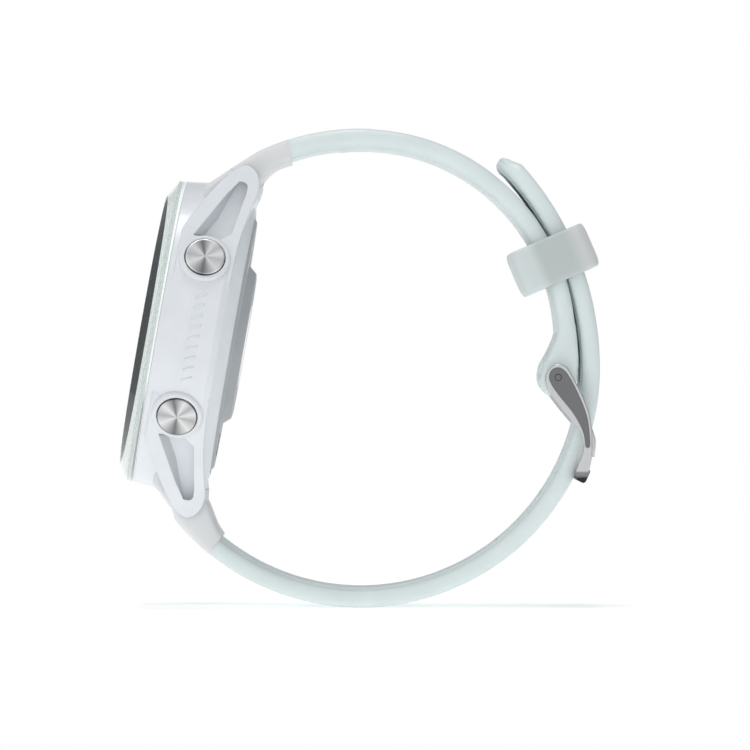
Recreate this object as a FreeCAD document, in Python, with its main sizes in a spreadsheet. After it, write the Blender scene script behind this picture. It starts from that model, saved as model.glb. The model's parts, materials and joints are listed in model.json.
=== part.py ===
"""A round sports watch on its closed strap, standing on the strap with the face to -X.

Row frame: +X from the face towards the buckle, -Y the three o'clock side, +Z up, origin under
the loop. Case frame: x runs from the glass through the wrist side, z towards twelve o'clock;
it is tilted about +Y, and every case piece is drawn in it.
"""
import FreeCAD, Part
import math
import os
import re

import Sketcher

Vector = FreeCAD.Vector
Rotation = FreeCAD.Rotation
Placement = FreeCAD.Placement

# ---------------------------------------------------------------- driving dimensions (mm, deg)
SIZES = {
    # where the case sits
    "case_tilt": 10.0, "case_x": -31.08, "case_z": 41.98,
    # glass and display stack, measured along the case axis
    "glass_front": -2.05, "glass_flat_r": 20.7, "glass_edge": -0.5, "glass_r": 23.25,
    "rim_inner": 20.0, "glue_line": 0.02,
    "glass_back": 0.55, "seat_front": 0.6, "gasket_inner": 21.5, "gasket_outer": 22.5,
    "gasket_back": 1.0, "display_r": 16.7, "frame_inner": 16.9, "frame_outer": 20.5,
    # housing
    "case_r": 23.8, "belt_front": 4.8, "belt_back": 9.2, "rim_edge": 10.1, "rim_r": 23.2,
    "back_edge": 11.8, "back_edge_r": 20.6, "front_bore": 20.9, "cavity_r": 20.6,
    "shelf_front": 10.0, "shelf_back": 10.9, "shelf_bore": 18.6, "cover_seat_r": 20.15,
    "lug_reach": 24.0, "lug_deep": 14.0, "slot_half": 11.2, "lug_root_r": 23.8, "pocket_depth": 2.1,
    "pin_n": 9.3, "pin_u": 25.0, "pin_r": 0.75,
    "pin_bore": 0.52, "tip_r": 0.42, "pin_half": 12.4, "latch_travel": 1.6,
    # rear cover
    "cover_r": 20.0, "cover_back": 12.2, "bump_r": 12.3, "bump_top_r": 11.2, "bump_back": 13.6,
    "sensor_pocket_r": 10.0, "sensor_pocket_back": 12.4, "window_r": 6.5, "window_front": 12.9,
    "screw_ring_r": 17.3, "boss_r": 2.0, "insert_r": 1.2, "screw_r": 0.6, "head_r": 1.25,
    "port_u": -15.5, "port_wide": 8.0, "port_high": 3.4, "contact_pitch": 1.7,
    # electronics
    "board_r": 19.8, "board_front": 3.1, "board_back": 3.9, "battery_wide": 21.0,
    "battery_tall": 19.0, "battery_front": 5.6, "battery_back": 9.7,
    # buttons: cap face centre and direction, then sizes along the button's own axis
    "button_n": 5.7, "button_y": 21.4, "button_u": 12.3, "button_angle": 27.0,
    "middle_y": 24.3, "cap_r": 2.95, "cap_deep": 1.3, "well_r": 3.12, "lip_r": 3.8,
    "lip_drop": 0.3, "well_deep": 2.3, "stem_r": 0.8, "stem_hole_r": 0.88, "stem_end": 5.1,
    "wall_inner": 4.2, "press": 0.55,
    # strap loop
    "strap_wide": 22.0, "loop_z": 36.3, "loop_outer": 36.3, "loop_inner": 33.3,
    "over_x": -9.9, "over_outer": 46.2, "over_inner": 43.2,
    "under_x": 0.3, "under_z": 40.2, "under_outer": 32.2, "under_inner": 29.3,
    # buckle and keeper
    "buckle_x": 29.9, "buckle_z": 34.9, "buckle_pin_r": 0.75, "bulb_r": 2.55,
    "frame_wide": 26.6, "arm_thick": 1.9, "bar_reach": 37.4, "bar_wide": 2.3, "bar_thick": 1.45,
    "tongue_wide": 2.4, "tongue_half": 0.45, "eye_r": 1.55, "keeper_angle": 23.4,
    "keeper_near": 25.3, "keeper_far": 37.8, "keeper_high": 7.0, "keeper_wall": 1.5,
    "hole_half_long": 1.45, "hole_half_wide": 2.3, "stretch_below": 3.9, "stretch_above": 4.4,
}

# Outline of the upper lug in the case frame (x, z); the lower one is its mirror.
LUG_OUTLINE = [
    (1.5, 15.6), (2.1, 17.3), (4.7, 22.1), (6.8, 25.2), (8.15, 26.5), (9.3, 27.1), (10.65, 26.7),
    (11.6, 25.4), (11.9, 23.65), (11.7, 22.3), (11.1, 20.0), (10.3, 15.4), (10.1, 10.8),
]
# Front silhouette of the housing (y, z), one quarter: the flanks run out to the lug tips.
FLANK = [(21.6, 9.4), (14.0, 27.0)]
# Triangular pocket in the lug's outer face (x, z), and its mirror.
POCKET = [(8.4, 24.3), (9.7, 24.4), (10.25, 23.6), (9.5, 19.6), (8.8, 15.2), (3.4, 15.2)]

BUTTONS = {
    # name: (case-frame y sign, z sign); the middle one has z sign 0
    "start_button": (-1, 1), "back_button": (-1, -1),
    "light_button": (1, 1), "up_button": (1, 0), "down_button": (1, -1),
}

doc = FreeCAD.newDocument("gps_watch")
sheet = doc.addObject("Spreadsheet::Sheet", "Sizes")
for row, (alias, number) in enumerate(SIZES.items(), start=1):
    sheet.set(f"A{row}", alias)
    sheet.set(f"B{row}", str(number))
    sheet.setAlias(f"B{row}", alias)
doc.recompute()

nodes = {}


def size(alias):
    return float(sheet.get(alias))


def expression(text):
    """Turn words such as 'glass_r - 0.2' into an expression on the sheet."""
    return re.sub(r"[a-z][a-z_0-9]*", lambda found: f"Sizes.{found.group()}", str(text))


def keep(label, thing, place=None):
    """Name a finished sub-part, and put it where it belongs."""
    thing.Label = label
    if place is not None:
        thing.Placement = place
    nodes[label] = thing
    return thing


def case_place():
    return Placement(Vector(size("case_x"), 0, size("case_z")),
                     Rotation(Vector(0, 1, 0), size("case_tilt")))


# ---------------------------------------------------------------- drawing helpers
def origin_plane(body, role):
    return [item for item in body.Origin.OriginFeatures if item.Role == role][0]


def closed_outline(sketch, points):
    """A closed polygon whose every corner is bound to the sheet."""
    corners = [Vector(index, index * index, 0) for index in range(len(points))]
    for first, second in zip(corners, corners[1:] + corners[:1]):
        sketch.addGeometry(Part.LineSegment(first, second))
    for index in range(len(points)):
        following = (index + 1) % len(points)
        sketch.addConstraint(Sketcher.Constraint("Coincident", index, 2, following, 1))
    for index, corner in enumerate(points):
        for kind, text in zip(("DistanceX", "DistanceY"), corner):
            number = sketch.addConstraint(Sketcher.Constraint(kind, -1, 1, index, 1, 1.0))
            sketch.setExpression(f"Constraints[{number}]", expression(text))


def turned(label, points, place=None):
    """A body turned about its own x axis from an (x, radius) outline."""
    body = doc.addObject("PartDesign::Body", label)
    sketch = body.newObject("Sketcher::SketchObject", f"{label}_outline")
    sketch.AttachmentSupport = [(origin_plane(body, "XZ_Plane"), "")]
    sketch.MapMode = "FlatFace"
    closed_outline(sketch, points)
    turn = body.newObject("PartDesign::Revolution", f"{label}_turn")
    turn.Profile = sketch
    turn.ReferenceAxis = (sketch, ["H_Axis"])
    turn.Angle = 360
    body.Tip = turn
    if place is not None:
        body.Placement = place
    return body


def ring(label, front, back, outer, inner="0", place=None):
    return turned(label, [(front, inner), (back, inner), (back, outer), (front, outer)], place)


def bound_box(label, sizes, corner):
    """A Part::Box with its three sizes and its corner bound to the sheet."""
    box = doc.addObject("Part::Box", label)
    for name, text in zip(("Length", "Width", "Height"), sizes):
        box.setExpression(name, expression(text))
    for name, text in zip("xyz", corner):
        box.setExpression(f"Placement.Base.{name}", expression(text))
    return box


def prism(label, plane, points, half):
    """A polygon pushed both ways out of a plane of its own body, half the width each way."""
    body = doc.addObject("PartDesign::Body", label)
    sketch = body.newObject("Sketcher::SketchObject", f"{label}_outline")
    sketch.AttachmentSupport = [(origin_plane(body, plane), "")]
    sketch.MapMode = "FlatFace"
    closed_outline(sketch, points)
    pad = body.newObject("PartDesign::Pad", f"{label}_pad")
    pad.Profile = sketch
    pad.Midplane = True
    pad.setExpression("Length", expression(f"2 * {half}"))
    body.Tip = pad
    return body


def joined(label, pieces):
    fuse = doc.addObject("Part::MultiFuse", label)
    fuse.Shapes = pieces
    return fuse


def cut(label, base, tools):
    result = doc.addObject("Part::Cut", label)
    result.Base = base
    result.Tool = tools[0] if len(tools) == 1 else joined(f"{label}_tools", tools)
    return result


def group(label, pieces):
    compound = doc.addObject("Part::Compound", label)
    compound.Links = pieces
    return compound


def mirrored(points):
    return [(first, -second) for first, second in reversed(points)]


def softened(points):
    """The same open outline with every inner corner cut to two blunter ones."""
    soft = [points[0]]
    for first, second in zip(points, points[1:]):
        soft += [tuple(0.75 * a + 0.25 * b for a, b in zip(first, second)),
                 tuple(0.25 * a + 0.75 * b for a, b in zip(first, second))]
    return [tuple(round(c, 3) for c in place) for place in soft + points[-1:]]


def button_place(name):
    """x out through the button, its origin at the middle of the cap's face, in the case frame."""
    side, rise = BUTTONS[name]
    reach = size("button_y") if rise else size("middle_y")
    angle = size("button_angle") * rise if side > 0 else 180 - size("button_angle") * rise
    spin = Rotation(Vector(1, 0, 0), angle) * Rotation(Vector(0, 0, 1), 90)
    return Placement(Vector(size("button_n"), side * reach, rise * size("button_u")), spin)


SCREW_ANGLES = [62, 118, 242, 298]


def screw_places(depth):
    places = []
    for angle in SCREW_ANGLES:
        spin = Rotation(Vector(1, 0, 0), angle)
        places.append(Placement(spin.multVec(Vector(depth, size("screw_ring_r"), 0)), spin))
    return places


# ---------------------------------------------------------------- housing
def main_case():
    ring_body = turned("case_ring", [
        ("seat_front", "0"), ("back_edge", "0"), ("back_edge", "back_edge_r"),
        ("rim_edge", "rim_r"), ("belt_back", "case_r"), ("belt_front", "case_r"),
        ("3.2", "case_r - 0.25"), ("1.3", "case_r - 0.5"), ("seat_front", "glass_r")])
    lug = softened(LUG_OUTLINE)
    side = prism("lug_side", "XZ_Plane", lug + mirrored(lug), "lug_reach")
    front_view = FLANK + [(-y, z) for y, z in reversed(FLANK)]
    front_view += [(-y, -z) for y, z in FLANK] + [(y, -z) for y, z in reversed(FLANK)]
    front = prism("lug_front", "YZ_Plane", front_view, "lug_deep")
    lugs = doc.addObject("Part::Common", "lugs")
    lugs.Base = side
    lugs.Tool = front
    lips = [turned(f"{name}_lip", [("-8", "0"), ("-lip_drop", "0"), ("-lip_drop", "lip_r - 0.25"),
                                   ("-lip_drop - 0.25", "lip_r"), ("-1.4", "lip_r + 0.1"),
                                   ("-2.6", "lip_r + 0.9"), ("-8", "lip_r + 0.9")],
                   button_place(name)) for name in BUTTONS]
    bosses = [ring(f"boss_{index}", "-4.7", "0", "boss_r", "0", place)
              for index, place in enumerate(screw_places(size("shelf_back")))]
    outer = joined("case_outer", [ring_body, lugs] + lips)
    cavity = turned("cavity", [
        ("seat_front - 1", "0"), ("back_edge + 1", "0"), ("back_edge + 1", "cover_seat_r"),
        ("shelf_back", "cover_seat_r"), ("shelf_back", "shelf_bore"),
        ("shelf_front", "shelf_bore"), ("shelf_front", "cavity_r"), ("1.9", "cavity_r"),
        ("1.9", "front_bore"), ("seat_front - 1", "front_bore")])
    gasket_groove = ring("gasket_groove", "seat_front - 1", "gasket_back", "gasket_outer",
                         "gasket_inner")
    seal_groove = ring("seal_groove", "shelf_back - 0.35", "shelf_back + 0.5", "20.05", "19.35")
    hollow = cut("case_hollow", outer, [cavity, gasket_groove, seal_groove])
    solid = joined("case_bossed", [hollow] + bosses)
    holes = [ring(f"insert_hole_{index}", "-3.6", "1", "insert_r", "0", place)
             for index, place in enumerate(screw_places(size("shelf_back")))]
    wells = [turned(f"{name}_well", [("1", "0"), ("1", "well_r"), ("-well_deep", "well_r"),
                                     ("-well_deep", "1.5"), ("-well_deep - 0.8", "1.5"),
                                     ("-well_deep - 0.8", "stem_hole_r"),
                                     ("-wall_inner - 1", "stem_hole_r"),
                                     ("-wall_inner - 1", "0")],
                    button_place(name)) for name in BUTTONS]
    slot_wide = expression("2 * slot_half")
    slots = []
    for sign in (1, -1):
        slot = doc.addObject("Part::Box", f"lug_slot_{sign + 1}")
        slot.setExpression("Width", slot_wide)
        slot.Length = 16
        slot.Height = 8
        slot.setExpression("Placement.Base.x", "-1")
        slot.setExpression("Placement.Base.y", expression("-slot_half"))
        base = "lug_root_r - 3" if sign > 0 else "-lug_root_r - 5"
        slot.setExpression("Placement.Base.z", expression(base))
        slots.append(slot)
    core = ring("slot_core", "-2", "16", "lug_root_r", "0")
    slot_tool = cut("slot_tool", joined("slot_pair", slots), [core])
    pins = [pin_hole(sign, side) for sign in (1, -1) for side in (1, -1)]
    inner_front = [(math.copysign(abs(y) - size("pocket_depth"), y), z) for y, z in front_view]
    pocket_floor = prism("pocket_floor", "YZ_Plane", inner_front, "lug_deep")
    pocket = softened([POCKET[-1]] + POCKET)[1:]
    pocket_prisms = [prism(f"pocket_{index}", "XZ_Plane", outline, "lug_reach")
                     for index, outline in enumerate([pocket, mirrored(pocket)])]
    guards = [ring(f"{name}_guard", "-8", "1", "lip_r + 0.02", "0", button_place(name))
              for name in BUTTONS if name != "up_button"]
    pocket_tool = cut("pocket_tool", joined("pocket_pair", pocket_prisms),
                      [pocket_floor] + guards)
    finished = cut("main_case_cut", solid, holes + wells + [slot_tool, pocket_tool] + pins)
    keep("main_case", finished, case_place())


def pin_hole(sign, side):
    """A blind hole in one lug, wide for the pin's barrel or narrow for its moving tip."""
    hole = doc.addObject("Part::Cylinder", f"pin_hole_{sign + 1}_{side + 1}")
    hole.setExpression("Radius", expression("pin_r + 0.05" if side < 0 else "tip_r + 0.05"))
    hole.setExpression("Height", expression("pin_half + 0.2"))
    hole.Placement = Placement(Vector(size("pin_n"), 0, sign * size("pin_u")),
                               Rotation(Vector(1, 0, 0), -90 * side))
    return hole


def glass_and_display():
    place = case_place()
    # a flat disc glued into a clear rim, which stands the thickness of the glue line proud
    disc = ring("lens_disc", "glass_front + glue_line", "glass_back", "rim_inner - glue_line")
    rim = turned("lens_rim", [
        ("glass_front", "rim_inner"), ("glass_back", "rim_inner"), ("glass_back", "glass_r"),
        ("glass_edge", "glass_r"), ("glass_edge - 0.45", "glass_r - 0.6"),
        ("glass_front + 0.4", "glass_flat_r + 0.75"), ("glass_front", "glass_flat_r")])
    keep("lens_glass", group("lens", [disc, rim]), place)
    keep("lens_gasket", ring("gasket_body", "glass_back", "gasket_back - 0.02",
                             "gasket_outer - 0.03", "gasket_inner + 0.03"), place)
    keep("bezel_ring", ring("bezel_body", "0.65", "1.05", "frame_outer", "frame_inner"), place)
    keep("display_panel", ring("display_body", "0.65", "1.5", "display_r"), place)
    keep("backlight_panel", ring("backlight_body", "1.55", "2.05", "display_r"), place)
    keep("display_chassis", turned("chassis_body", [
        ("2.1", "0"), ("2.7", "0"), ("2.7", "frame_outer"), ("1.1", "frame_outer"),
        ("1.1", "frame_inner"), ("2.1", "frame_inner")]), place)


def electronics():
    place = case_place()
    keep("main_board", ring("board_body", "board_front", "board_back", "board_r"), place)
    cans = [("5.2", "4.4", 4.0, 2.0), ("6.5", "5.0", -9.6, 4.6), ("8.0", "3.8", -4.0, -9.8)]
    boxes = [bound_box(f"can_{index}", ("1.2", wide, tall), ("board_back + 0.05", str(y), str(z)))
             for index, (wide, tall, y, z) in enumerate(cans)]
    keep("shield_cans", group("cans", boxes), place)
    cell = bound_box("cell", ("battery_back - battery_front", "battery_wide", "battery_tall"),
                     ("battery_front", "-battery_wide / 2", "-battery_tall / 2"))
    keep("battery_cell", group("battery", [cell]), place)
    coin = Placement(Vector(0, 0, -14.2), Rotation())
    keep("vibration_motor", ring("motor_body", "4.0", "6.8", "4.0"), place * coin)
    disc = Placement(Vector(0, 0, 14.4), Rotation())
    keep("buzzer_disc", ring("buzzer_body", "10.0", "10.75", "4.0"), place * disc)
    keep("antenna_ring", ring("antenna_body", "2.75", "4.05", "cavity_r - 0.1", "20.0"), place)
    for side, name in ((-1, "key_flex_right"), (1, "key_flex_left")):
        strip = doc.addObject("Part::Cylinder", f"{name}_outer")
        core = doc.addObject("Part::Cylinder", f"{name}_core")
        for thing, radius in ((strip, 17.9), (core, 17.75)):
            thing.Radius = radius
            thing.Height = 2.0
            thing.Angle = 72
        core.Angle = 360
        flex = cut(f"{name}_cut", strip, [core])
        spin = Rotation(Vector(0, 1, 0), 90) * Rotation(Vector(0, 0, 1), 54 if side > 0 else 234)
        keep(name, flex, place * Placement(Vector(4.7, 0, 0), spin))
    switches = []
    for name in BUTTONS:
        switch = doc.addObject("Part::Box", f"{name}_switch")
        switch.Length = 0.55
        switch.Width = 2.0
        switch.Height = 2.0
        seat = Placement(Vector(-size("stem_end") - size("press") - 0.65, -1.0, -1.0), Rotation())
        switch.Placement = button_place(name) * seat
        switches.append(switch)
    keep("key_switches", group("switches", switches), place)


def rear_cover():
    place = case_place()
    dish = turned("cover_dish", [
        ("shelf_back + 0.02", "0"), ("bump_back", "0"), ("bump_back", "bump_top_r - 0.7"),
        ("bump_back - 0.15", "bump_top_r"), ("cover_back", "bump_r"),
        ("cover_back", "cover_r - 1"), ("cover_back - 0.25", "cover_r - 0.7"),
        ("11.4", "cover_r"), ("shelf_back + 0.02", "cover_r")])
    pocket = turned("sensor_pocket", [
        ("10", "0"), ("bump_back + 1", "0"), ("bump_back + 1", "window_r + 0.05"),
        ("window_front", "window_r + 0.05"), ("window_front", "window_r - 0.9"),
        ("sensor_pocket_back", "window_r - 0.9"), ("sensor_pocket_back", "sensor_pocket_r"),
        ("10", "sensor_pocket_r")])
    sinks = [turned(f"sink_{index}", [("-2", "0"), ("1", "0"), ("1", "head_r + 0.15"),
                                      ("-0.75", "head_r + 0.15"), ("-0.75", "screw_r + 0.15"),
                                      ("-2", "screw_r + 0.15")], where)
             for index, where in enumerate(screw_places(size("cover_back")))]
    port = bound_box("port_hole", ("4", "port_wide + 0.1", "port_high + 0.1"),
                     ("10", "-port_wide / 2 - 0.05", "port_u - port_high / 2 - 0.05"))
    keep("rear_cover", cut("cover_cut", dish, [pocket, port] + sinks), place)
    keep("rear_cover_seal", ring("seal_body", "shelf_back - 0.33", "shelf_back + 0.02",
                                 "20.0", "19.4"), place)
    screws = [turned(f"screw_{index}", [("-4.2", "0"), ("0", "0"), ("0", "head_r"),
                                        ("-0.7", "head_r"), ("-0.7", "screw_r"),
                                        ("-4.2", "screw_r")], where)
              for index, where in enumerate(screw_places(size("cover_back")))]
    keep("rear_cover_screws", group("screws", screws), place)
    inserts = [ring(f"insert_{index}", "-3.5", "-0.05", "insert_r - 0.03", "screw_r + 0.03", where)
               for index, where in enumerate(screw_places(size("shelf_back")))]
    keep("screw_inserts", group("inserts", inserts), place)
    keep("sensor_window", ring("window_body", "window_front + 0.02", "bump_back",
                               "window_r"), place)
    keep("sensor_board", ring("sensor_board_body", "11.0", "11.5", "8.8"), place)
    leds = [bound_box(f"led_{index}", ("0.6", "1.1", "1.1"), ("11.55", str(y), str(z)))
            for index, (y, z) in enumerate([(-0.55, 2.2), (-2.5, -2.6), (1.4, -2.6)])]
    keep("sensor_leds", group("leds", leds), place)
    diodes = [bound_box(f"diode_{index}", ("0.5", "1.8", "1.8"), ("11.55", str(y), "-0.9"))
              for index, y in enumerate([-4.4, 2.6])]
    keep("sensor_photodiodes", group("diodes", diodes), place)
    block = bound_box("port_block", ("1.8", "port_wide", "port_high"),
                      ("10.1", "-port_wide / 2", "port_u - port_high / 2"))
    columns = [-1.5, -0.5, 0.5, 1.5]
    spots = [Placement(Vector(0, column * size("contact_pitch"), size("port_u")), Rotation())
             for column in columns]
    holes = [ring(f"contact_hole_{index}", "9", "13", "0.5", "0", spot)
             for index, spot in enumerate(spots)]
    keep("charge_port", cut("port_cut", block, holes), place)
    contacts = [ring(f"contact_{index}", "9.8", "11.75", "0.46", "0", spot)
                for index, spot in enumerate(spots)]
    keep("charge_contacts", group("contacts", contacts), place)


def spring_washers(label, rest, gap, place):
    """Two conical spring washers back to back, from rest outwards over the gap."""
    middle = f"{rest} + {gap} / 2"
    return turned(label, [
        (rest, "1.0"), (f"{middle} - 0.06", "2.5"), (f"{middle} + 0.06", "2.5"),
        (f"{rest} + {gap}", "1.0"), (f"{rest} + {gap} - 0.12", "1.0"), (middle, "2.2"),
        (f"{rest} + 0.12", "1.0")], place)


def buttons():
    place = case_place()
    for name in BUTTONS:
        where = place * button_place(name)
        keep(name, turned(f"{name}_body", [
            ("0", "0"), ("0", "cap_r - 0.2"), ("-0.2", "cap_r"), ("-cap_deep", "cap_r"),
            ("-cap_deep", "stem_r"), ("-wall_inner - 0.05", "stem_r"),
            ("-wall_inner - 0.05", "stem_r - 0.25"), ("-wall_inner - 0.4", "stem_r - 0.25"),
            ("-wall_inner - 0.4", "stem_r"), ("-stem_end", "stem_r"), ("-stem_end", "0")]), where)
        short = name.replace("_button", "")
        keep(f"{short}_spring", spring_washers(f"{short}_spring_body", "-well_deep + 0.05",
                                               "(well_deep - cap_deep - 0.1)", where))
        keep(f"{short}_seal", ring(f"{short}_seal_body", "-well_deep - 0.75",
                                   "-well_deep - 0.05", "1.45", "stem_r + 0.03"), where)
        keep(f"{short}_clip", ring(f"{short}_clip_body", "-wall_inner - 0.37",
                                   "-wall_inner - 0.08", "1.5", "stem_r - 0.25"), where)


# ---------------------------------------------------------------- strap, in the row frame
def polar(centre_x, centre_z, radius, angle):
    turn = math.radians(angle)
    return Vector(centre_x + radius * math.cos(turn), 0, centre_z + radius * math.sin(turn))


def arc_edge(centre, radius, start, end):
    """An arc in the xz plane about a centre, angles from +x towards +z."""
    places = [polar(*centre, radius, angle) for angle in (start, (start + end) / 2, end)]
    return Part.Arc(*places).toShape()


def line_edges(places):
    return [Part.LineSegment(first, second).toShape() for first, second in zip(places, places[1:])]


def point(x, z):
    return Vector(x, 0, z)


def strap_solid(edges, half):
    """A closed outline in the xz plane, pushed half the width to each side."""
    face = Part.Face(Part.Wire(Part.__sortEdges__(edges)))
    face.translate(Vector(0, -half, 0))
    return face.extrude(Vector(0, 2 * half, 0))


def along_y(radius, half, where):
    return Part.makeCylinder(radius, 2 * half, Vector(where.x, -half, where.z), Vector(0, 1, 0))


def case_point(n, u):
    return case_place().multVec(Vector(n, 0, u))


LOOP = (0.0, size("loop_z"))
OVER = (size("over_x"), size("loop_z"))
UNDER = (size("under_x"), size("under_z"))
OVER_END = 41.9
UNDER_START = 87.0
UNDER_NECK = 100.0
TONGUE_ANGLE = -11.6
TONGUE_HOLE = 4
BAR_TURN = 25.6
HOLE_COUNT = 14
HOLE_STEP = 10.4


def long_strap():
    """From the lower lug under the loop, up outside the buckle to its tip.

    The loop's circle runs on into a larger one, so the end leans away from the inner strap.
    """
    outer, inner = size("loop_outer"), size("loop_inner")
    over_out, over_in = size("over_outer"), size("over_inner")
    edges = line_edges([case_point(12.4, -24.6), case_point(10.0, -23.95),
                        case_point(5.6, -23.95), case_point(6.95, -25.9),
                        polar(*LOOP, outer, 216.0)])
    edges += [arc_edge(LOOP, outer, 216.0, 360.0), arc_edge(OVER, over_out, 0.0, OVER_END)]
    edges += line_edges([polar(*OVER, over_out, OVER_END), point(21.55, 68.35),
                         point(20.8, 67.65), point(20.75, 66.6),
                         polar(*OVER, over_in, OVER_END + 0.7)])
    edges += [arc_edge(OVER, over_in, OVER_END + 0.7, 0.0), arc_edge(LOOP, inner, 360.0, 222.0)]
    edges += line_edges([polar(*LOOP, inner, 222.0), case_point(15.0, -27.6),
                         case_point(12.4, -24.6)])
    strap = strap_solid(edges, size("strap_wide") / 2)
    cuts = root_cuts(-1)
    for index in range(HOLE_COUNT):
        angle = TONGUE_ANGLE + HOLE_STEP * (index - TONGUE_HOLE)
        centre, radius = LOOP, inner
        if angle > 0:
            centre, radius = OVER, over_in
            angle = angle * inner / over_in
        if angle < OVER_END - 6:
            cuts.append(strap_hole(centre, radius, angle, index == TONGUE_HOLE))
    return strap.cut(cuts)


def strap_hole(centre, radius, angle, stretched=False):
    """A slot through the strap, wide across it; the tongue stretches the hole that it is in."""
    where = polar(*centre, radius - 2, angle)
    below = size("stretch_below" if stretched else "hole_half_long")
    above = size("stretch_above" if stretched else "hole_half_long")
    half = size("hole_half_wide")
    block = Part.makeBox(8, 2 * half, below + above, Vector(0, -half, -below))
    block = block.makeFillet(0.9, [edge for edge in block.Edges
                                   if abs(edge.Vertexes[0].X - edge.Vertexes[1].X) > 5])
    block.rotate(Vector(0, 0, 0), Vector(0, 1, 0), -angle)
    block.translate(where)
    return block


def root_cuts(sign):
    """The strap root's bore for its pin, and the slot that the finger slide runs in."""
    centre = case_point(size("pin_n"), sign * size("pin_u"))
    bore = along_y(size("pin_r") + 0.05, 12, centre)
    slot = Part.makeBox(6, 4.6 + size("latch_travel"), 1.5,
                        Vector(size("pin_n"), 2.0 - size("latch_travel"),
                               sign * size("pin_u") - 0.75))
    slot.Placement = case_place()
    return [bore, slot]


def buckle_strap():
    """From the upper lug over the top and down inside the long strap to the buckle pin."""
    outer, inner = size("loop_outer"), size("loop_inner")
    under_out, under_in = size("under_outer"), size("under_inner")
    edges = line_edges([case_point(12.0, 24.6), case_point(10.0, 23.95), case_point(5.6, 23.95),
                        case_point(6.95, 25.9), polar(*LOOP, outer, 117.0)])
    edges += [arc_edge(LOOP, outer, 117.0, UNDER_START)]
    edges += line_edges([polar(*LOOP, outer, UNDER_START), polar(*UNDER, under_out, UNDER_START)])
    edges += [arc_edge(UNDER, under_out, UNDER_START, -2.0)]
    pin = (size("buckle_x"), size("buckle_z"))
    edges += line_edges([polar(*UNDER, under_out, -2.0), polar(*pin, size("bulb_r"), 25.0)])
    edges += [arc_edge(pin, size("bulb_r"), 25.0, -195.0)]
    edges += line_edges([polar(*pin, size("bulb_r"), 165.0), polar(*UNDER, under_in, 2.5)])
    edges += [arc_edge(UNDER, under_in, 2.5, UNDER_NECK)]
    edges += line_edges([polar(*UNDER, under_in, UNDER_NECK), case_point(15.2, 28.0),
                         case_point(12.0, 24.6)])
    strap = strap_solid(edges, size("strap_wide") / 2)
    pin_bore = along_y(size("buckle_pin_r") + 0.05, 14, point(*pin))
    notch = Part.makeBox(9, 3.4, 6.2, Vector(pin[0] - 4.2, -1.7, pin[1] - 3.2))
    return strap.cut(root_cuts(1) + [pin_bore, notch])


def strap_pin(sign):
    """A quick-release pin's barrel: a tube with a slot along it for the finger slide."""
    centre = case_point(size("pin_n"), sign * size("pin_u"))
    end = size("pin_half")
    barrel = Part.makeCylinder(size("pin_r"), end + 11.0, Vector(centre.x, -end, centre.z),
                               Vector(0, 1, 0))
    bore = Part.makeCylinder(size("pin_bore"), end + 11.0, Vector(centre.x, 1.0 - end, centre.z),
                             Vector(0, 1, 0))
    slot = Part.makeBox(2, 3.0 + size("latch_travel"), 1.2,
                        Vector(size("pin_n"), 2.6 - size("latch_travel"),
                               sign * size("pin_u") - 0.6))
    slot.Placement = case_place()
    return barrel.cut([bore, slot])


def latch(sign):
    """The moving tip in the barrel, and the finger slide that draws it back."""
    centre = case_point(size("pin_n"), sign * size("pin_u"))
    tip = Part.makeCylinder(size("tip_r"), size("pin_half") - 2.0, Vector(centre.x, 2.0, centre.z),
                            Vector(0, 1, 0))
    blade = Part.makeBox(2.8, 2.2, 0.8, Vector(size("pin_n"), 3.0, sign * size("pin_u") - 0.4))
    blade.Placement = case_place()
    return tip.fuse(blade).removeSplitter()


def pin_spring(sign):
    """The spring behind the moving tip."""
    centre = case_point(size("pin_n"), sign * size("pin_u"))
    helix = Part.makeHelix(1.1, 12.0, 0.38)
    start = Part.Wire(Part.makeCircle(0.09, Vector(0.38, 0, 0), Vector(0, 1, 0)))
    spring = Part.Wire(helix).makePipeShell([start], True, True)
    spring.rotate(Vector(0, 0, 0), Vector(1, 0, 0), -90)
    spring.translate(Vector(centre.x, -10.4, centre.z))
    return spring


def buckle_frame():
    """Two arms from the pin to a cross bar outside the long strap."""
    pin = point(size("buckle_x"), size("buckle_z"))
    outline_outer = [(31.4, 36.2), (32.6, 34.1), (33.85, 31.5), (34.6, 29.5), (35.0, 27.0),
                     (35.0, 24.75), (34.9, 22.75), (34.6, 21.0), (34.1, 19.5), (33.4, 19.25)]
    outline_inner = [(32.75, 20.2), (33.5, 22.4), (33.75, 24.2), (33.3, 26.5), (31.5, 28.75),
                     (30.2, 30.4), (29.0, 32.0), (28.2, 33.3), (28.0, 35.0), (28.7, 36.4),
                     (30.0, 36.9)]
    loop = [point(*place) for place in outline_outer + outline_inner]
    face = Part.Face(Part.makePolygon(loop + loop[:1]))
    half = size("frame_wide") / 2
    slabs = []
    thick = size("arm_thick")
    for side in (-half, half - thick):
        slab = face.extrude(Vector(0, thick, 0))
        slab.translate(Vector(0, side, 0))
        slabs.append(slab)
    bar = Part.makeBox(size("bar_thick"), 2 * half, size("bar_wide"),
                       Vector(-size("bar_thick") / 2, -half, -size("bar_wide") / 2))
    bar = bar.makeFillet(0.45, [edge for edge in bar.Edges if edge.Length > half])
    bar.rotate(Vector(0, 0, 0), Vector(0, 1, 0), BAR_TURN)
    bar.translate(polar(*LOOP, size("bar_reach"), -BAR_TURN))
    hole = along_y(size("buckle_pin_r") + 0.02, half + 1, pin)
    solid = slabs[0].fuse([slabs[1], bar]).removeSplitter()
    return solid.cut(hole)


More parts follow.
